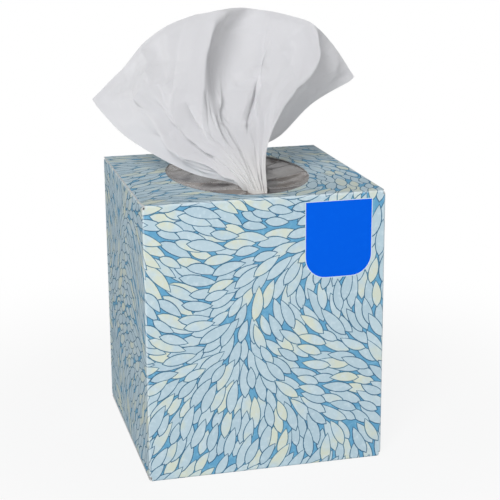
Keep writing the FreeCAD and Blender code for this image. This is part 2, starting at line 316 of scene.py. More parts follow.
# The print on the carton: a flat blank with leaves laid along a gentle flow, folded round the box
printSettings = {
    "seed": 41,
    "leafLength": 15.0,
    "leafWidth": 5.4,
    "lengthSpread": 0.25,
    "spacing": 0.56,
    "lineWidth": 0.46,
    "tries": 60000,
    "skin": 0.03,
    "tabLeft": 17.9,
    "tabRight": 48.5,
    "tabTop": 124.6,
    "tabBottom": 89.8,
    "tabCorner": 9.5,
    "nibs": 40,
    "nibHeight": 0.3,
}
# Each ink: roughness, then plain tone, tint of patches, pale spots and second plain tone
inks = {
    "groundInk": (0.55, (0.13, 0.35, 0.55), (0.22, 0.46, 0.60), (0.26, 0.52, 0.68), (0.17, 0.40, 0.60)),
    "lineInk": (0.55, (0.04, 0.125, 0.22), (0.08, 0.20, 0.28), (0.13, 0.29, 0.40), (0.07, 0.19, 0.30)),
    "leafInk": (0.55, (0.43, 0.57, 0.65), (0.64, 0.68, 0.56), (0.62, 0.73, 0.79), (0.55, 0.67, 0.72)),
    "tabInk": (0.45, (0.001, 0.105, 0.74), (0.001, 0.11, 0.75), (0.002, 0.12, 0.76), (0.001, 0.11, 0.75)),
    "tabEdgeInk": (0.55, (0.60, 0.70, 0.76), (0.60, 0.70, 0.76), (0.66, 0.74, 0.8), (0.6, 0.7, 0.76)),
}
wornTone = (0.80, 0.84, 0.85, 1)
foldRadius = 0.95
sideFoldCentre = 1.55  # below the carton's upper end
bottomFoldCentres = (2.19, 0.95, 2.19, 1.57)  # left, front, right and back panel
tubeTop = 1.7
tubeBottom = 2.34
cornerNotch = 1.1
evenFrom, evenTo = 30, 100  # between these heights a panel isn't stretched to meet its folds


def flowAngle(s, t):
    # The direction of the leaves at a place of the blank, in radians.
    wave = 0.95 * np.sin(s / 31.0 + 0.7 * np.sin(t / 37.0) + 0.9)
    wave = wave + 0.8 * np.sin(t / 24.0 - s / 83.0 + 2.1)
    return wave + 0.35 * np.sin((s + t) / 17.0) + 0.9


def placeLeaves(settings, regions):
    # Seeded darts that keep a distance measured along and across the flow.
    rng = np.random.default_rng(settings["seed"])
    kept = []
    for left, low, right, high in regions:
        area = (right - left) * (high - low)
        tries = int(settings["tries"] * area / 68000)
        across = rng.uniform(left - 6, right + 6, tries)
        points = np.column_stack([across, rng.uniform(low - 6, high + 6, tries)])
        kept.append(points)
    darts = np.concatenate(kept)
    angles = flowAngle(darts[:, 0], darts[:, 1])
    chosen = []
    lengthGap = settings["leafLength"] * settings["spacing"]
    widthGap = settings["leafWidth"] * settings["spacing"]
    cells = {}
    size = settings["leafLength"]
    for k, (s, t) in enumerate(darts):
        c, d = math.cos(angles[k]), math.sin(angles[k])
        cell = (int(s // size), int(t // size))
        clear = True
        for i in (-1, 0, 1):
            for j in (-1, 0, 1):
                for m in cells.get((cell[0] + i, cell[1] + j), ()):
                    x, y = darts[m][0] - s, darts[m][1] - t
                    along = (x * c + y * d) / lengthGap
                    across = (y * c - x * d) / widthGap
                    if along * along + across * across < 1.0:
                        clear = False
                        break
                if not clear:
                    break
            if not clear:
                break
        if clear:
            cells.setdefault(cell, []).append(k)
            chosen.append(k)
    return [(darts[k][0], darts[k][1], angles[k]) for k in chosen]


def leafOutline(length, width, bend, steps=8):
    # A pointed oval about the origin, bent along its length, anticlockwise.
    upper, lower = [], []
    for i in range(steps + 1):
        u = i / steps
        half = width / 2 * math.sin(math.pi * u**0.85) ** 0.8
        x = (u - 0.5) * length
        sag = bend * (1 - (2 * u - 1) ** 2) * length
        lower.append((x, sag - half * 0.94))
        if 0 < i < steps:
            upper.append((x, sag + half))
    return lower + upper[::-1]


def printFaces(settings, region, notches, leaves, extras, holes):
    # Triangles of one region of the blank, each with the shape that lies on top there.
    points = [Vector(p) for p in notches]
    shapes = [list(range(len(points)))]
    kinds = [(0, 0.0)]
    edges = []
    left, low, right, high = region

    def addShape(outline, kind, tint):
        start = len(points)
        points.extend(Vector(p) for p in outline)
        shapes.append(list(range(start, start + len(outline))))
        kinds.append((kind, tint))

    reach = settings["leafLength"]
    for s, t, angle, size, bend, tint in leaves:
        if not (left - reach < s < right + reach and low - reach < t < high + reach):
            continue
        c, d = math.cos(angle), math.sin(angle)
        length = settings["leafLength"] * size
        width = settings["leafWidth"] * (0.55 + 0.45 * size)
        line = settings["lineWidth"]
        for kind, (a, b) in ((1, (length, width)), (2, (length - 2.6 * line, width - 2 * line))):
            outline = leafOutline(a, b, bend)
            addShape([(s + x * c - y * d, t + x * d + y * c) for x, y in outline], kind, tint)
    for outline, kind in extras:
        addShape(outline, kind, 0.5)
    for outline in holes:
        addShape(outline, -1, 0.0)
    for a, b in foldLines(region):
        edges.append((len(points), len(points) + 1))
        points.extend((Vector(a), Vector(b)))
    found, _, faces, _, _, owners = geometry.delaunay_2d_cdt(points, edges, shapes, 0, 1e-5)
    kept, keptKinds = [], []
    for face, own in zip(faces, owners):
        if 0 not in own or any(kinds[o][0] < 0 for o in own):
            continue
        kept.append(face)
        keptKinds.append(kinds[max(own)])
    return found, kept, keptKinds


def foldLines(region):
    # Extra lines across the blank where it bends.
    left, low, right, high = region
    lines = []
    bends = (-foldRadius, -0.5, 0, 0.5, foldRadius)
    for corner in (0, 110, 220, 330, 440):
        for d in bends:
            if left < corner + d < right:
                lines.append(((corner + d, low - 1), (corner + d, high + 1)))
    for d in bends:
        for t in (boxHeight + d, -d):
            if low < t < high:
                lines.append(((left - 1, t), (right + 1, t)))
    return lines


def foldBlank(s, t, skin):
    # Place in space, in mm, of a point of the blank: s runs round the box from its rear left corner.
    panel = min(3, int(s // 110))
    inset = 0.0
    z = t
    topCentre = boxHeight - (foldRadius if panel == 1 else sideFoldCentre)
    if t > boxHeight - foldRadius:
        if t >= boxHeight + foldRadius and panel == 1:
            inset = t - boxHeight
            z = boxHeight + skin
        else:
            turn = (t - (boxHeight - foldRadius)) / (2 * foldRadius) * math.pi / 2
            inset = foldRadius - (foldRadius + skin) * math.cos(turn)
            z = topCentre + (foldRadius + skin) * math.sin(turn)
    elif panel != 1 and t > evenTo:
        z = evenTo + (t - evenTo) * (topCentre - evenTo) / (boxHeight - foldRadius - evenTo)
    if t < foldRadius:
        centre = bottomFoldCentres[panel]
        turn = (foldRadius - t) / (2 * foldRadius) * math.pi / 2
        inset = foldRadius - (foldRadius + skin) * math.cos(turn)
        z = centre - (foldRadius + skin) * math.sin(turn)
    elif panel != 1 and t < evenFrom:
        centre = bottomFoldCentres[panel]
        z = evenFrom - (evenFrom - t) * (evenFrom - centre) / (evenFrom - foldRadius)
    out = skin if inset == 0 else 0.0
    # Round the upright corners
    corner = round(s / 110)
    d = s - corner * 110
    if abs(d) < foldRadius:
        turn = (d / foldRadius + 1) * math.pi / 4
        radius = foldRadius + skin
        base = ((-1, 1), (-1, -1), (1, -1), (1, 1), (-1, 1))[corner]
        centre = (base[0] * (halfWidth - foldRadius), base[1] * (halfDepth - foldRadius))
        start = {0: math.pi / 2, 1: math.pi, 2: 1.5 * math.pi, 3: 0.0, 4: math.pi / 2}[corner]
        angle = start + turn
        x = centre[0] + radius * math.cos(angle)
        y = centre[1] + radius * math.sin(angle)
    else:
        u = s - panel * 110
        if panel == 0:
            x, y = -halfWidth - out, halfDepth - u
        elif panel == 1:
            x, y = -halfWidth + u, -halfDepth - out
        elif panel == 2:
            x, y = halfWidth + out, -halfDepth + u
        else:
            x, y = halfWidth - u, halfDepth + out
    if inset:
        inward = ((1, 0), (0, 1), (-1, 0), (0, -1))[panel]
        x += inward[0] * inset
        y += inward[1] * inset
    return (x * mm, y * mm, z * mm)


def ovalOutline(count, nibs, nibHeight):
    # The mouth's torn rim, on the blank, with the small nibs that the perforation leaves.
    outline = []
    for i in range(count):
        turn = 2 * math.pi * i / count
        phase = (turn * nibs / (2 * math.pi)) % 1.0
        stand = nibHeight * max(0.0, 1 - abs(phase - 0.5) / 0.12)
        x = (mouthHalfWidth - 0.03 - stand) * math.cos(turn)
        y = (mouthHalfDepth - 0.03 - stand) * math.sin(turn)
        outline.append((frontCentre + x, boxHeight + halfDepth + y))
    return outline


def tabOutline(settings, grow=0.0):
    # The plain tab on the front panel, square above and well rounded below.
    left = frontCentre + settings["tabLeft"] - grow
    right = frontCentre + settings["tabRight"] + grow
    top = settings["tabTop"] + grow
    bottom = settings["tabBottom"] - grow
    r = settings["tabCorner"] + grow
    outline = [(left, top)]
    for i in range(9):
        turn = math.pi + i * math.pi / 16
        outline.append((left + r + r * math.cos(turn), bottom + r + r * math.sin(turn)))
    for i in range(9):
        turn = 1.5 * math.pi + i * math.pi / 16
        outline.append((right - r + r * math.cos(turn), bottom + r + r * math.sin(turn)))
    outline.append((right, top))
    return outline


def sideRegion(panel, top):
    # Outline of one upright panel, with small notches at its corners.
    left, right = panel * 110.0, panel * 110.0 + 110.0
    notch = cornerNotch
    low = -0.6
    return [
        (left, tubeBottom),
        (left + notch, tubeBottom),
        (left + notch, low),
        (right - notch, low),
        (right - notch, tubeBottom),
        (right, tubeBottom),
        (right, boxHeight - tubeTop),
        (right - notch, boxHeight - tubeTop),
        (right - notch, top),
        (left + notch, top),
        (left + notch, boxHeight - tubeTop),
        (left, boxHeight - tubeTop),
    ]


def inkMaterial(name, colours, roughness):
    # Printed board: its colours are mixed in soft clouds and by leaf.
    n = Nodes(name)
    coords = n.objectCoords()
    leaf = n.attribute("leafTint")
    cloud = n.noise(coords, 55, 3, 0.6)
    fine = n.noise(coords, 420, 3, 0.6)
    patch = n.ramp(n.math("ADD", n.math("MULTIPLY", cloud, 0.72), n.math("MULTIPLY", leaf, 0.28)), [
        (0.53, (0, 0, 0)), (0.66, (0.9, 0.9, 0.9)),
    ])
    tone = n.mixColour(n.math("MULTIPLY", leaf, 0.8), colours[0], colours[3])
    tone = n.mixColour(patch, tone, colours[1])
    spots = n.ramp(fine, [(0.50, (0, 0, 0)), (0.72, (1, 1, 1))])
    tone = n.mixColour(n.math("MULTIPLY", spots, 0.6), tone, colours[2])
    wear = n.attribute("creaseWear")
    tone = n.mixColour(n.math("MULTIPLY", wear, n.math("ADD", 0.25, fine)), tone, wornTone)
    shader = n.add("ShaderNodeBsdfPrincipled", Roughness=roughness)
    shader.inputs["Specular IOR Level"].default_value = 0.02
    n.set(shader, "Base Color", tone)
    waves = n.noise(coords, 22, 2)
    grain = n.noise(coords, 1500, 2)
    normal = n.bump(waves, 0.0012, 0.35)
    n.set(shader, "Normal", n.bump(grain, 0.00002, 0.4, normal))
    return n.finish(shader)


def makePrint(settings):
    rng = random.Random(settings["seed"])
    regions = [(0, 0, 440, 128), (110, 128, 220, 238)]
    leaves = []
    for s, t, angle in placeLeaves(settings, regions):
        size = 1 + rng.uniform(-1, 1) * settings["lengthSpread"]
        bend = rng.uniform(-0.05, 0.05)
        leaves.append((s, t, angle + rng.uniform(-0.13, 0.13), size, bend, rng.random()))
    rng.shuffle(leaves)
    wrapped = leaves + [(s + 440, *rest) for s, *rest in leaves if s < 20]
    wrapped += [(s - 440, *rest) for s, *rest in leaves if s > 420]
    tab = [(tabOutline(settings, 0.35), 4), (tabOutline(settings), 3)]
    foldEnd = boxHeight + foldRadius * 0.55
    jobs = []
    for panel in (0, 2, 3):
        region = (panel * 110, -1, panel * 110 + 110, foldEnd)
        jobs.append((region, sideRegion(panel, foldEnd), [], []))
    jobs.append(((110, -1, 220, boxHeight + foldRadius), sideRegion(1, boxHeight + foldRadius), tab, []))
    topLow, topHigh = boxHeight + foldRadius, boxHeight + boxDepth - 0.2
    topOutline = [(111.1, topLow), (218.9, topLow), (219.8, topLow + 1.1)]
    topOutline += [(219.8, topHigh), (110.2, topHigh), (110.2, topLow + 1.1)]
    mouth = ovalOutline(400, settings["nibs"], settings["nibHeight"])
    jobs.append(((110, topLow, 220, 238), topOutline, [], [mouth]))
    points, faces, kinds, blank = [], [], [], []
    for region, outline, extras, holes in jobs:
        found, kept, keptKinds = printFaces(settings, region, outline, wrapped, extras, holes)
        start = len(points)
        for p in found:
            points.append(foldBlank(p.x, p.y, settings["skin"]))
            blank.append((p.x, p.y))
        faces.extend(tuple(i + start for i in face) for face in kept)
        kinds.extend(keptKinds)
    used = sorted({i for face in faces for i in face})
    place = {old: new for new, old in enumerate(used)}
    renumbered = [tuple(place[i] for i in f) for f in faces]
    obj = meshObject("carton_print", [points[i] for i in used], renumbered, False)
    mesh = obj.data
    blank = np.array([blank[i] for i in used])
    for name, (roughness, *colours) in inks.items():
        mesh.materials.append(inkMaterial(name, [(*colour, 1) for colour in colours], roughness))
    mesh.polygons.foreach_set("material_index", [k for k, _ in kinds])
    addFloat(mesh, "leafTint", [t for _, t in kinds], "FACE")
    edge = np.minimum(np.abs((blank[:, 0] + 55) % 110 - 55), np.abs(blank[:, 1] - boxHeight))
    addFloat(mesh, "creaseWear", np.clip(1 - edge / 0.9, 0, 1) * 0.5)
    layer = mesh.uv_layers.new(name="OFBake")
    corner = np.zeros(len(mesh.loops), int)
    mesh.loops.foreach_get("vertex_index", corner)
    uv = (blank[corner] + (1, 2)) / 442.0
    layer.data.foreach_set("uv", uv.ravel())
    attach(obj, "root")
    print("print:", len(leaves), "leaves,", len(faces), "faces")
    return obj


# The sheet that stands out of the slit
sheetSettings = {
    "seed": 12,
    "side": 213.0,
    "height": 95.0,
    "columns": 360,
    "fanRows": 216,
    "dropRows": 12,
    "tailRows": 40,
    "archOuter": 52.7,
    "archCentre": 64.73,
    "footX": 4.2,
    "footTurn": 3.0,
    "footFront": -35.9,
    "footBack": 30.0,
    "footLift": 2.6,
    "upperLift": 1.0,
    "lowerLift": 0.3,
    "foldX": 51.4,
    "foldReach": 1.2,
    "tailEndX": -7.0,
    "pleats": 9,
    "pleatHeight": 1.0,
    "crumple": 0.9,
    "crumples": 190,
    "facet": 0.068,
    "facets": 9,
    "edgeCurl": 1.1,
    "tones": ((0.665, 0.665, 0.69, 1), (0.71, 0.71, 0.725, 1)),
    # Warm beige near the foot is painted shading, where the sheet meets the film
    "footWarmShading": (0.83, 0.80, 0.75, 1),
    "throughTone": (0.78, 0.78, 0.80, 1),
    "throughShare": 0.24,
}
# Ribs of the fan: share along the free edge, then x, y and height above the box of five points
fanRibs = [
    (0.00, [(-5.0, -39, 0), (-12, -39.5, 4.2), (-30, -27.5, 8.2), (-52, 0, 19.8), (-66, 12, 36)]),
    (0.11, [(-4.8, -40, 0), (-13, -41.6, 8.4), (-33, -31, 20.5), (-48, -12, 38), (-53, 4, 51.5)]),
    (0.235, [(-4.2, -41.5, 0), (-13.5, -43.2, 11), (-32, -33, 29), (-41, -24, 48), (-41, -8, 67)]),
    (0.33, [(-3.0, -43.4, 0), (-12, -44, 14), (-27, -39, 31), (-32, -33, 54), (-27.5, -22, 76)]),
    (0.40, [(-1.5, -44.0, 0), (-9.5, -43.5, 13.5), (-20, -37, 33), (-22.5, -33, 58), (-18, -30, 78.5)]),
    (0.50, [(-0.2, -43.8, 0), (-5.5, -41.0, 14), (-10, -28, 34), (-8, -21, 58), (-2, -18, 78.5)]),
    (0.575, [(0.9, -43.4, 0), (-1, -38.5, 14), (2.5, -20, 34), (8, -11, 58), (11, -8, 76.5)]),
    (0.65, [(2.2, -43.0, 0), (2, -39.5, 14), (9, -24, 34), (18, -16, 56), (21, -12, 74.5)]),
    (0.73, [(3.4, -42.2, 0), (4.2, -39, 18), (14.5, -31, 35), (27.5, -26, 52), (32, -22, 70.5)]),
    (0.85, [(3.8, -14, 0), (6, -9, 12), (18, -4, 26), (33, -5, 43), (46, -6, 59)]),
    (1.00, [(2.5, 33, 0), (12, 30, 4.5), (27, 24, 11), (42, 15, 28.6), (62, 10, 40.5)]),
]
# Long creases: half width and height in mm, then (share, up) places that they run through
longCreases = [
    (15.0, 4.2, [(0.412, 1.04), (0.402, 0.87), (0.392, 0.73), (0.382, 0.64), (0.365, 0.57), (0.33, 0.47)]),
    (8.0, 2.4, [(0.735, 1.04), (0.735, 0.80), (0.72, 0.62), (0.71, 0.45)]),
    (5.0, -1.6, [(0.800, 1.04), (0.795, 0.85), (0.785, 0.72)]),
    (9.0, 3.8, [(0.515, 0.655), (0.56, 0.680), (0.61, 0.670), (0.645, 0.64)]),
    (5.0, -2.4, [(0.520, 0.605), (0.56, 0.630), (0.60, 0.620)]),
    (4.5, -2.2, [(0.582, 0.63), (0.578, 0.55), (0.565, 0.46), (0.55, 0.38)]),
    (8.0, 2.8, [(0.535, 0.61), (0.535, 0.52), (0.53, 0.43)]),
    (8.0, 3.2, [(0.630, 0.62), (0.62, 0.53), (0.60, 0.44)]),
    (16.0, 4.6, [(0.09, 0.66), (0.115, 0.46), (0.15, 0.30), (0.20, 0.16)]),
    (9.0, 4.2, [(0.292, 0.66), (0.29, 0.53), (0.275, 0.40), (0.26, 0.30)]),
    (9.0, 3.6, [(0.20, 0.97), (0.215, 0.85), (0.235, 0.72)]),
    (10.0, 4.8, [(0.12, 0.72), (0.18, 0.735), (0.25, 0.725), (0.30, 0.69)]),
    (8.0, 3.6, [(0.305, 0.70), (0.300, 0.60), (0.285, 0.50), (0.26, 0.42)]),
    (5.0, -2.6, [(0.330, 0.62), (0.320, 0.54), (0.305, 0.46)]),
    (3.0, 1.3, [(0.365, 0.56), (0.34, 0.46), (0.32, 0.38)]),
    (2.6, -1.0, [(0.390, 0.56), (0.37, 0.46), (0.35, 0.36)]),
    (2.8, 1.1, [(0.415, 0.53), (0.40, 0.44), (0.385, 0.34)]),
    (2.4, -0.9, [(0.445, 0.52), (0.43, 0.42), (0.42, 0.32)]),
    (2.8, 1.2, [(0.47, 0.50), (0.46, 0.40), (0.45, 0.28)]),
    (3.6, 1.2, [(0.47, 0.50), (0.50, 0.44), (0.535, 0.42), (0.57, 0.45)]),
    (4.0, -0.9, [(0.66, 0.60), (0.67, 0.72), (0.68, 0.85)]),
    (4.0, 0.8, [(0.50, 0.86), (0.56, 0.84), (0.63, 0.86)]),
    (5.0, 1.3, [(0.15, 0.84), (0.20, 0.80), (0.26, 0.83)]),
    (4.0, -1.2, [(0.06, 0.62), (0.12, 0.56), (0.18, 0.54), (0.24, 0.52)]),
    (5.0, 1.6, [(0.04, 0.50), (0.11, 0.45), (0.18, 0.40)]),
]
# Dents and swells: share, up, reach along the sheet and up it in mm, height in mm
softDents = [
    (0.245, 0.88, 6.0, 10.0, -3.6),
    (0.60, 0.66, 8.0, 6.0, 2.6),
    (0.18, 0.62, 10.0, 8.0, -7.0),
    (0.325, 0.52, 6.0, 9.0, -6.0),
    (0.215, 0.56, 6.0, 10.0, 3.6),
    (0.27, 0.50, 5.0, 9.0, -3.2),
    (0.13, 0.88, 7.0, 9.0, -2.0),
    (0.29, 0.83, 6.0, 13.0, 2.0),
    (0.06, 0.70, 8.0, 9.0, 1.8),
    (0.495, 0.82, 14.0, 26.0, -5.0),
    (0.60, 0.78, 15.0, 12.0, 2.4),
    (0.545, 0.55, 8.0, 8.0, 3.4),
    (0.50, 0.45, 7.0, 8.0, -3.0),
    (0.62, 0.55, 8.0, 9.0, 2.0),
    (0.10, 0.85, 10.0, 14.0, 1.4),
    (0.34, 0.83, 10.0, 16.0, 1.2),
    (0.90, 0.70, 16.0, 16.0, -1.0),
    (0.44, 0.24, 9.0, 10.0, 1.6),
]


def onArch(x, along, lift, settings):
    # Points over the bent stack; along runs over the arch from front to back.
    radius = settings["archOuter"] + lift
    quarter = settings["archOuter"] * math.pi / 2
    turn = np.clip(along / settings["archOuter"], -math.pi / 2, math.pi / 2)
    y = radius * np.sin(turn)
    z = settings["archCentre"] + radius * np.cos(turn) - np.maximum(np.abs(along) - quarter, 0)
    return np.stack([x + 0 * y, y, z], -1)


def fanGrid(shares, rows):
    # The standing part of the sheet, rows from the slit to the free edge.
    knots = np.array([share for share, _ in fanRibs])
    ribs = np.array([points for _, points in fanRibs], float)
    across = catmull(knots, ribs, shares)
    levels = catmull(np.linspace(0, 1, ribs.shape[1]), across.transpose(1, 0, 2), np.linspace(0, 1, rows))
    return levels + np.array([0, 0, boxHeight])


def tailPath(settings):
    # x, height over the arch and spread of the rows below the foot.
    upper, lower = settings["upperLift"], settings["lowerLift"]
    foot, fold, reach = settings["footX"], settings["foldX"], settings["foldReach"]
    path = [(foot, settings["footLift"], 0.0)]
    path.append((foot + settings["footTurn"] / 4, (settings["footLift"] + upper) / 2, 0.03))
    start, flatEnd = foot + settings["footTurn"], fold - reach
    for k in range(7):
        share = k / 6
        path.append((start + (flatEnd - start) * share, upper, 0.08 + 0.92 * share))
    path.append((fold - reach / 3, upper, 1.0))
    path.append((fold, (upper + lower) / 2, 1.0))
    path.append((fold - reach / 3, lower, 1.0))
    for k in range(5):
        path.append((flatEnd + (settings["tailEndX"] - flatEnd) * k / 4, lower, 1.0))
    return np.array(path)


def creaseProfile(distance, halfWidth, along, soft=0.22):
    # A sharp fold that runs out softly to its sides.
    d = np.sqrt(distance**2 + (soft * 1.2) ** 2) / halfWidth
    return np.exp(-1.7 * d) * along


def polylineField(x, y, width, height, places, settings):
    # Height of one long crease over the flat sheet, in its own mm.
    field = np.zeros_like(x)
    line = np.array(places) * (settings["side"], settings["height"])
    lengths = np.linalg.norm(np.diff(line, axis=0), axis=1)
    total = lengths.sum()
    done = 0.0
    for a, b, length in zip(line[:-1], line[1:], lengths):
        dx, dy = (b - a) / length
        t = np.clip((x - a[0]) * dx + (y - a[1]) * dy, 0, length)
        distance = np.hypot(x - a[0] - dx * t, y - a[1] - dy * t)
        share = (done + t) / total
        fade = smoothstep(share / 0.2) * smoothstep((1 - share) / 0.25)
        part = creaseProfile(distance, width, 0.08 + 0.92 * fade)
        field = np.maximum(field, part)
        done += length
    return field * height


def crumpleField(x, y, settings):
    # Many short seeded creases, closer together near the foot.
    rng = np.random.default_rng(settings["seed"])
    field = np.zeros_like(x)
    for _ in range(settings["crumples"]):
        low = rng.uniform() < 0.55
        cx = rng.uniform(0, settings["side"])
        cy = rng.uniform(0.02, 0.60 if low else 1.0) * settings["height"]
        lean = rng.normal(math.pi / 2, 0.5 if low else 0.9)
        length = rng.uniform(4, 15)
        height = rng.uniform(0.35, 1.0) * rng.choice((-1, 1)) * settings["crumple"]
        if low:
            height *= 1.5
        dx, dy = math.cos(lean), math.sin(lean)
        t = (x - cx) * dx + (y - cy) * dy
        d = (x - cx) * dy - (y - cy) * dx + 0.05 * t * t / length
        runOut = np.exp(-((t / length) ** 2) * 2.2)
        field += height * runOut * np.exp(-1.3 * np.sqrt(d * d + 0.12) / rng.uniform(1.2, 3.6))
    return field


def facetField(x, y, settings):
    # Broad flat planes that meet in sharp creases, in patches of the sheet.
    rng = np.random.default_rng(settings["seed"] + 1)
    field = np.zeros_like(x)
    for _ in range(settings["facets"]):
        lean = rng.normal(0, 0.7)
        wave = rng.uniform(20, 46)
        bend = 3.0 * np.sin(y / 23.0 + rng.uniform(0, 6.3))
        d = x * math.cos(lean) + y * math.sin(lean) + bend + rng.uniform(0, wave)
        zigzag = np.abs(np.mod(d / wave, 1.0) - 0.5) * 2 - 0.5
        a, b = rng.uniform(0.02, 0.05), rng.uniform(0.02, 0.06)
        patch = np.sin(a * x + rng.uniform(0, 6.3)) * np.sin(b * y + rng.uniform(0, 6.3))
        mask = smoothstep(0.5 + 0.9 * patch)
        field += zigzag * wave * mask
    return field * settings["facet"]


def sheetRelief(shares, rows, settings):
    # How far each point of the standing part is moved along its normal, in mm.
    up = np.linspace(0, 1, rows)[:, None] + 0 * shares[None, :]
    share = shares[None, :] + 0 * up
    x, y = share * settings["side"], up * settings["height"]
    relief = crumpleField(x, y, settings) * (0.22 + 0.78 * smoothstep(up / 0.55))
    aroundRidge = np.exp(-(((share - 0.39) / 0.055) ** 2))
    relief += facetField(x, y, settings) * smoothstep((up - 0.28) / 0.42) * (1 - 0.85 * aroundRidge)
    for width, height, places in longCreases:
        relief += polylineField(x, y, width, height, places, settings)
    for s, u, reachX, reachY, height in softDents:
        across, rise = (x - s * settings["side"]) / reachX, (y - u * settings["height"]) / reachY
        relief += height * np.exp(-(across**2) - rise**2)
    uneven = 0.55 * np.sin(9.0 * share) + 0.25 * np.sin(31.0 * share)
    pleat = np.sin(2 * math.pi * (settings["pleats"] * share + uneven))
    pleat += 0.35 * np.sin(2 * math.pi * 2.3 * settings["pleats"] * share + 1.0)
    pleat *= np.exp(-((up / 0.30) ** 2)) * (0.35 + smoothstep(up / 0.10) * 0.65)
    relief += settings["pleatHeight"] * pleat
    relief *= smoothstep(up / 0.07) * 0.8 + 0.2
    relief *= 1 - 0.8 * smoothstep((up - 0.90) / 0.10)
    relief *= smoothstep(share / 0.05) * smoothstep((1 - share) / 0.05)
    relief -= settings["edgeCurl"] * smoothstep((up - 0.925) / 0.075) ** 1.5
    return relief


def makePopup(settings):
    shares = np.linspace(0, 1, settings["columns"])
    fan = fanGrid(shares, settings["fanRows"])
    relief = sheetRelief(shares, settings["fanRows"], settings)
    fan = fan + gridNormals(fan) * relief[:, :, None]
    footY = settings["footFront"] + (settings["footBack"] - settings["footFront"]) * shares
    foot = settings["archOuter"] * np.arcsin(footY / settings["archOuter"])
    end = (2 * shares - 1) * (settings["side"] / 2 - 1.5)
    path = tailPath(settings)
    knots = np.arange(len(path), dtype=float)
    fine = catmull(knots, path, np.linspace(0, len(path) - 1, settings["tailRows"]))
    fine[:, 2] = np.clip(fine[:, 2], 0, 1)
    tail = np.array([onArch(x, foot + (end - foot) * spread, lift, settings) for x, lift, spread in fine])
    down = np.linspace(0, 1, settings["dropRows"] + 2)[1:-1, None, None]
    drop = fan[0] + (tail[0] - fan[0]) * down
    drop[:, :, 1] = fan[0, :, 1] + (tail[0, :, 1] - fan[0, :, 1]) * down[:, :, 0] ** 2.5
    grid = np.concatenate([tail[::-1], drop[::-1], fan]) * mm
    rows = len(grid)
    obj = meshObject("popup_sheet", grid.reshape(-1, 3), gridFaces(rows, settings["columns"]))
    low = len(tail) + len(drop)
    up = np.concatenate([np.zeros(low), np.linspace(0, 1, settings["fanRows"])])
    addFloat(obj.data, "nearFoot", np.repeat(np.clip(1 - up / 0.35, 0, 1), settings["columns"]))
    obj.data.materials.append(tissueMaterial(settings))
    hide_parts("popup_tissue")
    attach(obj, "root")
    print("sheet:", len(obj.data.vertices), "points")
    return obj


def tissueMaterial(settings):
    n = Nodes("tissuePaper")
    coords = n.objectCoords()
    fibre = n.noise(coords, 240, 4, 0.65)
    grain = n.noise(coords, 1300, 2)
    cloud = n.noise(coords, 34, 2)
    tone = n.mixColour(cloud, *settings["tones"])
    # Painted warm shading near the foot, where the sheet meets the film
    tone = n.mixColour(n.math("MULTIPLY", n.attribute("nearFoot"), 0.6), tone, settings["footWarmShading"])
    normal = n.bump(fibre, 0.00035, 0.35)
    normal = n.bump(grain, 0.00006, 0.35, normal)
    front = n.add("ShaderNodeBsdfDiffuse", Roughness=0.9, Color=tone, Normal=normal)
    through = n.add("ShaderNodeBsdfTranslucent", Color=settings["throughTone"], Normal=normal)
    return n.finish(n.blend(settings["throughShare"], front, through))


# Film behind the mouth
filmSettings = {
    "seed": 5,
    "margin": 5.0,
    "dip": 2.0,
    "lift": 1.4,
    "slitHalfLength": 45.5,
    "slitHalfWidth": 6.2,
    "columns": 360,
    "rows": 64,
    "level": 127.48,
    "ripple": 0.12,
    "waves": 14,
    "creaseScale": 2.1,
    "roughness": 0.24,
    "clearTone": (0.84, 0.83, 0.84, 1),
    # The milky layer's colours are painted light: a dark tone of painted shade under the sheet and inside
    # the box, and a brown tone of painted reflection
    "filmShadeAndReflectionTones": ((0.105, 0.10, 0.115, 1), (0.30, 0.265, 0.24, 1)),
    "shadedMilkShare": 0.62,
}
# Creases of the film: from (x, y) to (x, y), width and height in mm
filmCreases = [
    (31, -5, 6, -24, 3.0, 1.2),
    (31, -12, 7, -31, 2.2, -0.9),
    (29, 14, 6, -4, 3.0, 0.8),
    (25, 26, 5, 10, 2.4, -0.7),
    (14, 40, 3, 30, 2.2, 0.7),
    (-31, -6, -7, -25, 3.4, 0.9),
    (-30, 9, -7, -10, 2.8, -0.8),
    (-24, -31, -5, -38, 2.4, 0.8),
    (22, -33, 5, -40, 2.2, 0.7),
    (-22, 30, -5, 14, 3.0, 0.7),
    (12, -42, 3, -44, 1.6, 0.4),
]


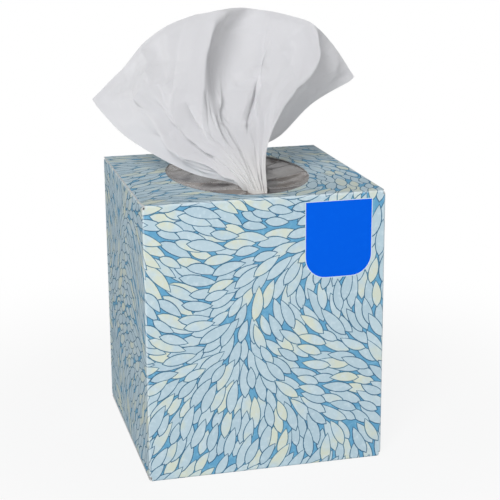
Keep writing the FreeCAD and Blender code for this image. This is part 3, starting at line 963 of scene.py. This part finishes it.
def makeFilm(settings):
    turns = 2 * np.pi * (np.arange(settings["columns"]) + 0.5) / settings["columns"]
    c, s = np.cos(turns), np.sin(turns)
    lipX = settings["slitHalfWidth"] * np.sign(c) * np.abs(c) ** 0.4
    lipY = settings["slitHalfLength"] * np.sign(s) * np.abs(s) ** 0.4
    rng = np.random.default_rng(settings["seed"])
    waves = [(int(rng.integers(4, 30)), rng.uniform(0, 6.28), rng.uniform(0.3, 1.0))
             for _ in range(settings["waves"])]
    rows = []
    for inward in np.linspace(-1, 1, settings["rows"]):
        if inward <= 0:
            x = (mouthHalfWidth - settings["margin"] * inward) * c
            y = (mouthHalfDepth - settings["margin"] * inward) * s
            z = np.full_like(x, settings["level"])
        else:
            x = mouthHalfWidth * c * (1 - inward) + lipX * inward
            y = mouthHalfDepth * s * (1 - inward) + lipY * inward
            slack = np.maximum(0, 1 - (y / mouthHalfDepth) ** 2)
            ripple = sum(a * np.sin(k * turns + p + 2.5 * inward) for k, p, a in waves)
            relief = settings["ripple"] * ripple
            for ax, ay, bx, by, width, height in filmCreases:
                length = math.hypot(bx - ax, by - ay)
                t = np.clip(((x - ax) * (bx - ax) + (y - ay) * (by - ay)) / length**2, 0, 1)
                d = np.hypot(x - ax - (bx - ax) * t, y - ay - (by - ay) * t)
                fall = np.exp(-1.6 * np.sqrt(d * d + 0.08) / width)
                relief = relief + settings["creaseScale"] * height * fall
            sag = settings["dip"] * math.sin(math.pi * inward) ** 0.6 - settings["lift"] * inward**3
            z = settings["level"] - slack**0.7 * sag + relief * math.sin(math.pi * inward) ** 0.6
            clearOfRim = settings["level"] + 0.01 + 6.0 * max(0.0, inward - 0.14)
            z = np.minimum(z, min(boxHeight + 0.6, clearOfRim))
        rows.append(np.stack([x, y, z], -1))
    grid = np.array(rows) * mm
    obj = meshObject("film_sheet", grid.reshape(-1, 3), gridFaces(len(rows), settings["columns"], True))
    obj.data.materials.append(filmMaterial(settings))
    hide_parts("window_film")
    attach(obj, "root")
    print("film:", len(obj.data.vertices), "points")
    return obj


def filmMaterial(settings):
    n = Nodes("clearFilm")
    coords = n.objectCoords()
    reflectionCloud = n.noise(coords, 45, 3)
    crinkle = n.noise(coords, 130, 3)
    normal = n.bump(crinkle, 0.0010, 0.5)
    clear = n.add("ShaderNodeBsdfTransparent", Color=settings["clearTone"])
    shadedMilk = n.add("ShaderNodeBsdfPrincipled", Roughness=settings["roughness"], Normal=normal)
    # Painted shade and painted reflection: the dark shade tone is mixed in patches with the brown
    # reflection tone
    patches = n.ramp(reflectionCloud, [(0.42, (0, 0, 0)), (0.62, (1, 1, 1))])
    n.set(shadedMilk, "Base Color", n.mixColour(patches, *settings["filmShadeAndReflectionTones"]))
    shadedMilk.inputs["Specular IOR Level"].default_value = 0.34
    return n.finish(n.blend(settings["shadedMilkShare"], clear, shadedMilk))


# Stack of sheets, bent over into an arch
stackSettings = {
    "layers": 40,
    "layerStep": 0.12,
    "halfLength": 53.3,
    "outer": 52.7,
    "inner": 2.7,
    "centre": 64.73,
    "bottom": 1.8,
    "edgeX": -10.0,
    "edgeReach": 34.0,
    "edgeTop": 124.5,
    "edgeSag": 2.5,
    "edgeThickness": 0.3,
    "tones": ((0.78, 0.78, 0.78, 1), (0.86, 0.86, 0.86, 1)),
}


def stackProfile(settings):
    # x and radius around the block: outer face, one end, inner face, other end.
    half, outer, inner = settings["halfLength"], settings["outer"], settings["inner"]
    steps = np.arange(2 * settings["layers"])
    radii = outer + (inner - outer) * (steps + 0.5) / len(steps)
    ends = half - settings["layerStep"] * (steps // 2 % 2)  # every second sheet sits a little back
    top = [(x, outer) for x in np.linspace(-half, half, 24)]
    low = [(half, inner), (-half, inner)]
    return np.array(top + list(zip(ends, radii)) + low + list(zip(-ends[::-1], radii[::-1])))


def raisedEdge(settings):
    # Edge of the next sheet, drawn up beside the slit; one ring of points per row.
    rings = []
    for along in np.linspace(-1, 1, 81):
        y = settings["edgeReach"] * along
        foot = settings["centre"] + math.sqrt(settings["outer"] ** 2 - y * y) - 1.0
        top = settings["edgeTop"] - settings["edgeSag"] * along * along
        up = np.linspace(0, 1, 14)
        x = settings["edgeX"] + 0.8 * up * math.sin(3 * math.pi * along)
        z = foot + (top - foot) * up
        front = np.stack([x, y + 0 * x, z], -1)
        rings.append(np.concatenate([front, (front + (settings["edgeThickness"], 0, 0))[::-1]]))
    return np.array(rings)


def makeStack(settings):
    profile = stackProfile(settings)
    leg = np.linspace(settings["bottom"], settings["centre"], 8)[:-1]
    turns = np.linspace(-math.pi / 2, math.pi / 2, 61)
    rows = [(-1.0, 0.0, z) for z in leg]
    rows += [(math.sin(t), math.cos(t), settings["centre"]) for t in turns]
    rows += [(1.0, 0.0, z) for z in leg[::-1]]
    x, radius = profile.T
    grid = np.array([np.stack([x, sine * radius, z + cosine * radius], -1) for sine, cosine, z in rows])
    columns = len(profile)
    faces = gridFaces(len(rows), columns, True)
    last = (len(rows) - 1) * columns
    faces += [tuple(range(columns)), tuple(last + j for j in reversed(range(columns)))]
    edge = raisedEdge(settings)
    start, ring = grid.size // 3, edge.shape[1]
    faces += [tuple(start + k for k in face) for face in gridFaces(len(edge), ring, True)]
    last = start + (len(edge) - 1) * ring
    faces += [tuple(start + j for j in range(ring)), tuple(last + j for j in reversed(range(ring)))]
    points = np.concatenate([grid.reshape(-1, 3), edge.reshape(-1, 3)]) * mm
    obj = meshObject("stack_sheets", points, faces, False)
    obj.data.materials.append(stackMaterial(settings))
    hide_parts("tissue_stack")
    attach(obj, "root")
    print("stack:", len(points), "points")
    return obj


def stackMaterial(settings):
    n = Nodes("tissueLayers")
    fibre = n.noise(n.objectCoords(), 300, 4, 0.6)
    shader = n.add("ShaderNodeBsdfPrincipled", Roughness=0.95)
    n.set(shader, "Base Color", n.mixColour(fibre, *settings["tones"]))
    n.set(shader, "Normal", n.bump(fibre, 0.0004, 0.5))
    return n.finish(shader)


bpy.context.scene.view_settings.view_transform = "Standard"
makeCamera(cameraSettings)
for lampName, lampValues in lampSettings.items():
    makeLamp(lampName, *lampValues)
makeWorld(studioSettings)
makeFloor(studioSettings)
print("studio: camera, lamps, world and floor")
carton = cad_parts["carton"]
carton.data.materials.clear()
carton.data.materials.append(boardMaterial(boardSettings))
print("board: painted")
makePrint(printSettings)
makePopup(sheetSettings)
makeFilm(filmSettings)
makeStack(stackSettings)
